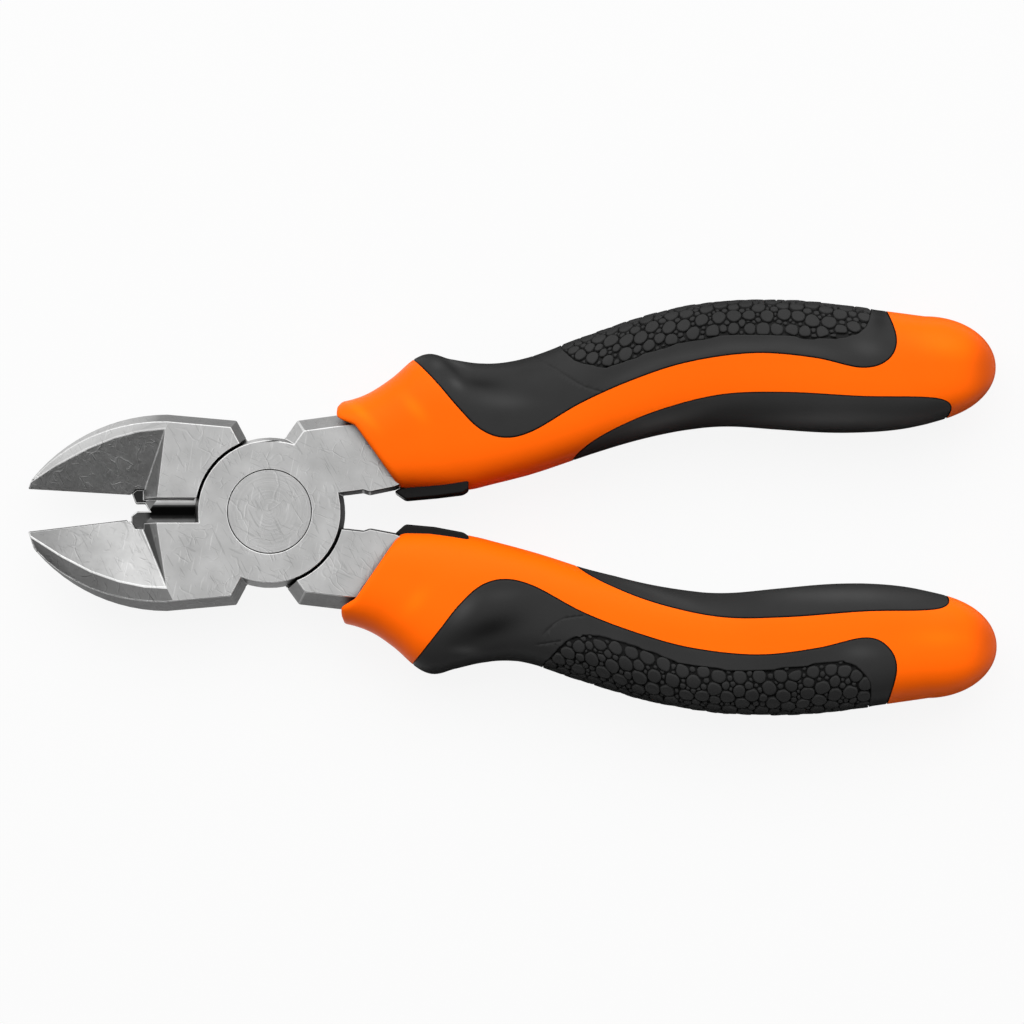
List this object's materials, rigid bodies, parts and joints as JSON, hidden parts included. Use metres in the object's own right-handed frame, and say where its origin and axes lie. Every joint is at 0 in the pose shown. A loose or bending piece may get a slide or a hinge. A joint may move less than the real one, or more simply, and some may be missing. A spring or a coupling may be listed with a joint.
{
  "type": "diagonal cutting pliers",
  "caption": "Diagonal cutting pliers with bevelled steel jaws on a flush lap-joint rivet, and curved handles of hard orange plastic with soft black grips.",
  "frame": {"origin": "centre of the rivet's rear face, on the hinge axis", "axes": "+Z along the rivet towards the front face, +X from the rivet along the tool to the handles, jaws towards -X; the tool lies flat"},
  "size_m": [0.1802, 0.0769, 0.0184],
  "materials": {
    "lever_steel": "ground and tumbled, satin",
    "rivet_steel": "turned, satin",
    "orange_plastic": "smooth satin",
    "black_grip": "soft satin, pebbled palm panel",
    "black_pad": "satin"
  },
  "bodies": {
    "front_half": {"front_lever": "lever_steel", "pivot_rivet": "rivet_steel", "upper_handle_sleeve": "orange_plastic", "upper_outer_grip": "black_grip", "upper_inner_grip": "black_grip", "upper_stop_pad": "black_pad"},
    "rear_half": {"rear_lever": "lever_steel", "lower_handle_sleeve": "orange_plastic", "lower_outer_grip": "black_grip", "lower_inner_grip": "black_grip", "lower_stop_pad": "black_pad"}
  },
  "joints": [
    {"name": "pivot", "type": "hinge", "parent": "front_half", "child": "rear_half", "pos_m": [0, 0, 0.0055], "axis": [0, 0, -1], "range_deg": [-10, 28]}
  ]
}
